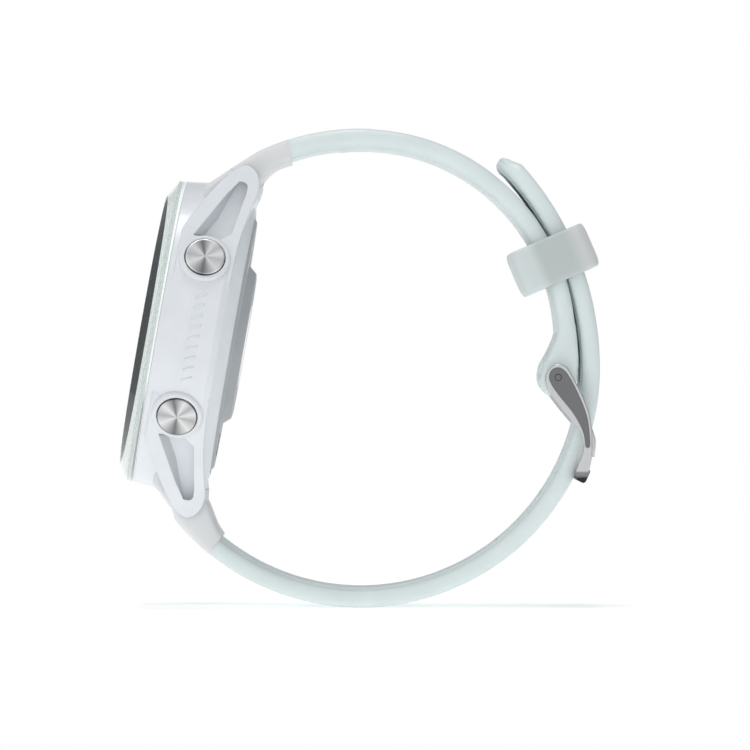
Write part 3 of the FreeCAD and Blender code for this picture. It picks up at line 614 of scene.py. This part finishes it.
def keeper():
    """A soft rounded sleeve round both strap halves, drawn with x out of the strap's curve."""
    near, far, high, wall, half = 25.3, 37.8, 7.0, 1.5, STRAP_HALF + 0.45
    radial, middle = (far - near) / 2, (far + near) / 2
    corner = 1.9
    rings = []
    for sy, sr, start in CORNERS:
        for i in range(7):
            turn = math.radians(start + 90 * i / 6)
            y0, r0 = sy * (half + wall - corner), sr * (radial - corner)
            ring = []
            for k in range(32):
                a = 2 * math.pi * k / 32
                across = math.copysign(abs(math.cos(a)) ** 0.6, math.cos(a)) * wall / 2
                tall = math.copysign(abs(math.sin(a)) ** 0.45, math.sin(a)) * high / 2
                reach = corner - wall / 2 + across
                ring.append((middle + r0 + reach * math.sin(turn), y0 + reach * math.cos(turn),
                             tall))
            rings.append(ring)
    points, faces = loft(rings, closed_path=True)
    place = Matrix.Translation(Vector((UNDER[0], 0, UNDER[1])) * MM)
    place = place @ Matrix.Rotation(math.radians(KEEPER_TURN), 4, "Y")
    piece("keeper_sleeve", points, faces, "keeper", "keeper",
          replaces=["keeper_loop"], place=place, smooth=60)


# ---------------------------------------------------------------- buckle
def inset(outline, gap):
    """A closed outline moved inwards by the gap, corner for corner."""
    area = sum(a[0] * b[1] - b[0] * a[1] for a, b in zip(outline, outline[1:] + outline[:1]))
    side = 1 if area > 0 else -1
    moved = []
    for i, here in enumerate(outline):
        before, after = outline[i - 1], outline[(i + 1) % len(outline)]
        along = (after[0] - before[0], after[1] - before[1])
        length = math.hypot(*along)
        moved.append((here[0] - side * gap * along[1] / length,
                      here[1] + side * gap * along[0] / length))
    return moved


def closed_curve(points, steps):
    """A smooth closed outline through the points."""
    around = [points[-1], *points, points[0], points[1]]
    return smooth_path(around, steps)[steps:-steps - 1]


def at_y(outline, y):
    return [(x, y, z) for x, z in outline]


def recessed_plate(rim, sunk, y_back, y_face, bevel, deep):
    """A plate with bevelled edges, and a sunk field in its face."""
    step = math.copysign(bevel, y_face - y_back)
    points, faces = loft([at_y(inset(rim, bevel), y_back), at_y(rim, y_back + step),
                          at_y(rim, y_face - step), at_y(inset(rim, bevel), y_face)], caps=False)
    faces.append(tuple(range(len(rim))))
    floor = y_face - math.copysign(deep, y_face)
    wall, wall_faces = loft([at_y(sunk, y_face), at_y(inset(sunk, 0.05), floor)], caps=False)
    base = len(points)
    faces += [tuple(base + i for i in face) for face in wall_faces]
    faces.append(tuple(base + len(sunk) + i for i in range(len(sunk))))
    points += wall
    front = base - len(rim)
    order = [front + i for i in range(len(rim))] + [base + i for i in range(len(sunk))]
    outer = [Vector((points[i][0], points[i][2], 0)) for i in order[:len(rim)]]
    inner = [Vector((points[i][0], points[i][2], 0)) for i in order[len(rim):]]
    for triangle in tessellate_polygon([outer, inner]):
        faces.append(tuple(order[i] for i in triangle))
    return points, faces, floor


def buckle_frame():
    """Two flat arms with a bright rim round a recess painted dark (a painted dark reflection), and
    the rounded bar across them.
    """
    edge = [(31.4, 36.2), (32.6, 34.1), (33.85, 31.5), (34.6, 29.4), (35.0, 27.0), (35.05, 24.75),
            (34.95, 22.6), (34.6, 21.0), (34.15, 19.6), (33.3, 19.3), (32.45, 20.0),
            (32.75, 21.4), (33.35, 22.9), (33.7, 24.6), (33.2, 26.7), (31.5, 28.8), (30.2, 30.4),
            (29.0, 32.0), (28.2, 33.3), (27.95, 34.9), (28.45, 36.15), (29.5, 36.85),
            (30.5, 36.8)]
    hollow = [(32.4, 33.6), (33.5, 31.2), (34.3, 28.9), (34.65, 26.6), (34.7, 24.5),
              (34.05, 24.4), (33.8, 26.1), (33.2, 27.7), (32.0, 29.7), (30.3, 31.8),
              (29.0, 33.6), (28.5, 34.9), (28.85, 36.0), (29.8, 36.45), (30.65, 36.15),
              (31.4, 35.35)]
    half = 13.3
    for side, word in ((-1, "near"), (1, "far")):
        points, faces, floor = recessed_plate(closed_curve(edge, 5), closed_curve(hollow, 5),
                                               side * (half - 1.9), side * half, 0.14, 0.32)
        arm = piece(f"buckle_arm_{word}", points, faces, "steel_arm", "buckle",
                    replaces=["buckle_frame"], smooth=30)
        # the recess floors are painted dark: a painted dark reflection
        arm.data.materials.append(MATERIALS["steel_painted_dark"])
        for face in arm.data.polygons:
            if all(abs(arm.data.vertices[i].co.y - floor * MM) < 1e-6 for i in face.vertices):
                face.material_index = 1
    section = rounded(0.75, 1.15, 0.45, 5)
    spin = math.radians(BAR_TURN)
    cx, cz = polar(LOOP, BAR_REACH, BAR_TURN)

    def bar_ring(y, scale):
        return [(cx + scale * (r * math.cos(spin) - t * math.sin(spin)), y,
                 cz + scale * (r * math.sin(spin) + t * math.cos(spin))) for r, t in section]
    rings = [bar_ring(y, f) for y, f in ((-13.25, 0.8), (-13.1, 0.96), (-12.9, 1.0), (0, 1.0),
                                         (12.9, 1.0), (13.1, 0.96), (13.25, 0.8))]
    points, faces = loft(rings)
    piece("buckle_bar", points, faces, "steel_arm", "buckle",
          replaces=["buckle_frame"], smooth=50)


def buckle_tongue():
    """A bent blade with rounded edges and tip, and its eye round the pin."""
    path = smooth_path([(31.0, 34.2), (32.7, 31.6), (34.3, 29.1), (34.85, 27.2), (35.35, 25.6),
                        (35.42, 24.8), (35.35, 23.6), (35.25, 22.75)], 8)
    rings = []
    for i, (x, z) in enumerate(path):
        before, after = path[max(i - 1, 0)], path[min(i + 1, len(path) - 1)]
        length = math.dist(before, after)
        dx, dz = (after[0] - before[0]) / length, (after[1] - before[1]) / length
        left = math.dist((x, z), path[-1])
        half = 1.2 * (math.sqrt(max(0.0, 1 - (1 - left / 1.1) ** 2)) * 0.75 + 0.25
                      if left < 1.1 else 1.0)
        rings.append([(x - dz * v, y, z + dx * v)
                      for y, v in rounded(half, 0.43, 0.2)])
    points, faces = loft(rings)
    piece("tongue_blade", points, faces, "steel", "tongue",
          replaces=["buckle_tongue"], smooth=50)
    profile = [(-1.2, 0.82), (-1.2, 1.35), (-1.05, 1.5), (1.05, 1.5), (1.2, 1.35), (1.2, 0.82)]
    points, faces = turned_y(profile)
    piece("tongue_eye", points, faces, "steel", "tongue",
          replaces=["buckle_tongue"],
          place=Matrix.Translation(Vector((PIN[0], 0, PIN[1])) * MM), smooth=30)


def turned_y(profile, steps=48):
    """Points and faces of a closed (y, radius) outline turned round the y axis."""
    points, faces = turned(profile, steps)
    return [(c, a, b) for a, b, c in points], faces


def buckle_pin():
    """The pin, its two ends riveted over in the arms' recesses."""
    end = 13.16
    profile = [(-end, 0.0), (-end, 0.42), (-end + 0.08, 0.54), (-end + 0.3, 0.58),
               (-end + 0.3, 0.72), (end - 0.3, 0.72), (end - 0.3, 0.58), (end - 0.08, 0.54),
               (end, 0.42), (end, 0.0)]
    points, faces = turned_y(profile)
    pin = piece("buckle_pin_turned", points, faces, "steel", "buckle",
                replaces=["buckle_pin"],
                place=Matrix.Translation(Vector((PIN[0], 0, PIN[1])) * MM), smooth=30)
    # painted shade: the riveted ends take dark steel, with black rubber round them for the groove's
    # shadow
    pin.data.materials.append(MATERIALS["steel_painted_dark"])
    pin.data.materials.append(MATERIALS["seal"])
    for face in pin.data.polygons:
        if abs(face.center.y) > (end - 0.25) * MM:
            reach = math.hypot(face.center.x, face.center.z)
            face.material_index = 2 if reach > 0.43 * MM else 1


# ---------------------------------------------------------------- glass, keys and side ribs
GLASS_FRONT, GLASS_EDGE, GLASS_BACK = -2.05, -0.46, 0.55
GLASS_RADIUS = 23.25
DARK_REACH = 19.2


def lens():
    """Thick glass bonded down: display behind the middle, a pale printed ring round it that glows a
    little as painted light.
    """
    bevel = 0.05
    profile = [(GLASS_FRONT, 0.0), (GLASS_FRONT, 20.6), (GLASS_FRONT + bevel, 20.8),
               (GLASS_EDGE - 0.06, GLASS_RADIUS - 0.06), (GLASS_EDGE, GLASS_RADIUS),
               (GLASS_BACK - bevel, GLASS_RADIUS), (GLASS_BACK, GLASS_RADIUS - bevel),
               (GLASS_BACK, DARK_REACH), (GLASS_BACK, 0.0)]
    points, faces = turned(profile, 192)
    obj = piece("lens_bonded", points, faces, "glass", "watch",
                replaces=["lens_glass"], place=case_matrix(), smooth=12)
    obj.data.materials.append(MATERIALS["ring_print_painted_glow"])
    obj.data.materials.append(MATERIALS["display"])
    for face in obj.data.polygons:
        reach = max(math.hypot(*obj.data.vertices[i].co.yz) for i in face.vertices)
        if min(obj.data.vertices[i].co.x for i in face.vertices) > (GLASS_BACK - 0.06) * MM:
            face.material_index = 1 if reach > (DARK_REACH + 0.1) * MM else 2


def keys():
    """Spun steel caps, each drawn round its own z axis pointing out of the case."""
    places = {"start": (-1, 1), "back": (-1, -1), "light": (1, 1), "up": (1, 0), "down": (1, -1)}
    profile = [(0.0, 0.0), (-0.04, 1.2), (-0.01, 2.6), (0.0, 2.84), (-0.04, 2.91), (-0.12, 2.95),
               (-1.3, 2.95), (-1.3, 0.8), (-4.25, 0.8), (-4.25, 0.55),
               (-4.6, 0.55), (-4.6, 0.8), (-5.1, 0.8), (-5.1, 0.0)]
    for name, (side, rise) in places.items():
        angle = math.radians(27.0 * rise)
        out = Vector((0, side * math.cos(angle), math.sin(angle)))
        across = Vector((1, 0, 0))
        up = out.cross(across)
        spin = Matrix((across, up, out)).transposed().to_4x4()
        reach = 21.4 if rise else 24.3
        seat = Vector((KEY_DEPTH, side * reach, KEY_RISE * rise)) * MM
        place = case_matrix() @ Matrix.Translation(seat)
        points, faces = turned(profile, 96)
        points = [(b, c, a) for a, b, c in points]
        # the back key takes the darker copy of the spun steel: painted shade
        face = "spun_painted_shade" if name == "back" else "spun"
        piece(f"{name}_cap", points, faces, face, f"{name}_key",
              replaces=[f"{name}_button"], place=place @ spin, smooth=35)


def side_ribs():
    """Low slanted ribs moulded in the flank between the two right-hand keys."""
    count, pitch, lean, half = 9, 1.6, 0.38, 0.2
    ends = ((5.35, 1), (6.95, -1))
    points, faces = [], []
    for k in range(count):
        middle = pitch * (k - (count - 1) / 2)
        base = len(points)
        for rise, shrink in ((-0.15, 0.0), (0.05, 0.0), (0.09, 0.06)):
            reach = CASE_RADIUS + rise
            for n, inwards in ends:
                for side in (-inwards, inwards):
                    u = middle - inwards * lean + side * (half - shrink)
                    points.append(case_point(n + inwards * shrink,
                                             -math.sqrt(reach ** 2 - u ** 2), u))
        for layer in (0, 4):
            for i in range(4):
                a, b = base + layer + i, base + layer + (i + 1) % 4
                faces.append((a, b, b + 4, a + 4))
        faces.append(tuple(base + 8 + i for i in range(4)))
        faces.append(tuple(base + 3 - i for i in range(4)))
    piece("side_ribs", points, faces, "case", "watch")


LUG_FACE = ((21.6, 9.4), (14.0, 27.0))  # the lug's slanting side: (y, u) at its two ends
POCKET_EDGE = ((3.4, 15.2), (8.4, 24.3))  # the pocket's front edge: (n, u) at its two ends


def at_height(line, u):
    """The first value of a straight (value, u) line, at that u."""
    (first, low), (last, high) = line
    return first + (last - first) * (u - low) / (high - low)


def pocket_walls():
    """Sloped inner walls down the front side of the four lug pockets, in a darker case colour that is
    painted shade.
    """
    steps, low, high, depth, buried = 12, 15.3, 24.0, 2.12, 0.04
    points, faces = [], []
    for side in (-1, 1):
        for rise in (-1, 1):
            rings = []
            for k in range(steps + 1):
                u = low + (high - low) * k / steps
                top, edge = at_height(LUG_FACE, u), at_height(POCKET_EDGE, u)
                foot = 1.45 - 1.25 * max(0.0, k / steps - 0.35) / 0.65
                ring = [(edge - buried, top - 0.1), (edge + foot, top - depth),
                        (edge - buried, top - depth)]
                if side * rise > 0:
                    ring.reverse()
                rings.append([case_point(n, side * y, rise * u) for n, y in ring])
            more, sides = loft(rings)
            faces += [tuple(len(points) + i for i in face) for face in sides]
            points += more
    piece("pocket_walls", points, faces, "case_painted_shade", "watch")


# ---------------------------------------------------------------- camera, light and floor
def camera():
    """A long lens, level, looking straight along the wrist's axis."""
    data = bpy.data.cameras.new("camera")
    data.sensor_width = 36.0
    data.lens = 440.4
    obj = bpy.data.objects.new("camera", data)
    obj.location = (0.00220, -1.4, 0.03526)
    obj.rotation_euler = (math.radians(90), 0, 0)
    bpy.context.scene.collection.objects.link(obj)
    bpy.context.scene.camera = obj


def area_light(name, place, target, size, power):
    data = bpy.data.lights.new(name, "AREA")
    data.shape = "RECTANGLE"
    data.size, data.size_y = size
    data.energy = power
    obj = bpy.data.objects.new(name, data)
    obj.location = place
    aim = Vector(target) - Vector(place)
    obj.rotation_euler = aim.to_track_quat("-Z", "Y").to_euler()
    bpy.context.scene.collection.objects.link(obj)


def backdrop():
    """Soft light from all round, brighter from the front, the left and below; white behind."""
    world = bpy.data.worlds.new("studio")
    world.use_nodes = True
    tree = world.node_tree
    coord = add(tree, "ShaderNodeTexCoord")
    towards = add(tree, "ShaderNodeVectorMath", operation="DOT_PRODUCT")
    towards.inputs[1].default_value = (-0.55, -0.62, -0.56)
    tree.links.new(coord.outputs["Generated"], towards.inputs[0])
    shift = add(tree, "ShaderNodeMapRange")
    shift.inputs["From Min"].default_value = -1.0
    tree.links.new(towards.outputs["Value"], shift.inputs["Value"])
    sky = ramp(tree, shift.outputs["Result"], [(0.12, (0.36, 0.37, 0.38)),
                                               (0.5, (0.62, 0.63, 0.64)),
                                               (0.8, (1.0, 1.0, 1.0))])
    split = add(tree, "ShaderNodeSeparateXYZ")
    tree.links.new(coord.outputs["Generated"], split.inputs["Vector"])
    behind = add(tree, "ShaderNodeMapRange")
    behind.inputs["From Min"].default_value = 0.93
    behind.inputs["From Max"].default_value = 0.98
    tree.links.new(split.outputs["Y"], behind.inputs["Value"])
    mix = add(tree, "ShaderNodeMix", data_type="RGBA")
    tree.links.new(behind.outputs["Result"], mix.inputs["Factor"])
    tree.links.new(sky, mix.inputs["A"])
    mix.inputs["B"].default_value = (1, 1, 1, 1)
    tree.links.new(mix.outputs["Result"], tree.nodes["Background"].inputs["Color"])
    bpy.context.scene.world = world
    bpy.context.scene.view_settings.view_transform = "Standard"


def pale_floor():
    """A round sheet that shines a little, so that only the contact shadow shows on it."""
    reach, steps = 0.42, 96
    rim = [(reach * math.cos(2 * math.pi * i / steps), reach * math.sin(2 * math.pi * i / steps), 0)
           for i in range(steps)]
    mesh = bpy.data.meshes.new("floor")
    mesh.from_pydata(rim, [], [tuple(range(steps))])
    floor = bpy.data.objects.new("floor", mesh)
    bpy.context.scene.collection.objects.link(floor)
    mesh.materials.append(surface("floor_pale", (0.94, 0.94, 0.94), (0.93, 0.93, 0.93),
                                  (0.7, 0.8), relief=0.0, Emission_Color=(1, 1, 1, 1),
                                  Emission_Strength=0.36))


# ---------------------------------------------------------------- build
camera()
area_light("overhead", (-0.03, 0.0, 0.9), (0.0, 0.0, 0.036), (0.34, 0.22), 2.2)
backdrop()
pale_floor()
dress_cad_nodes()
long_strap()
roots()
buckle_strap()
keeper()
buckle_frame()
buckle_tongue()
buckle_pin()
lens()
keys()
side_ribs()
pocket_walls()
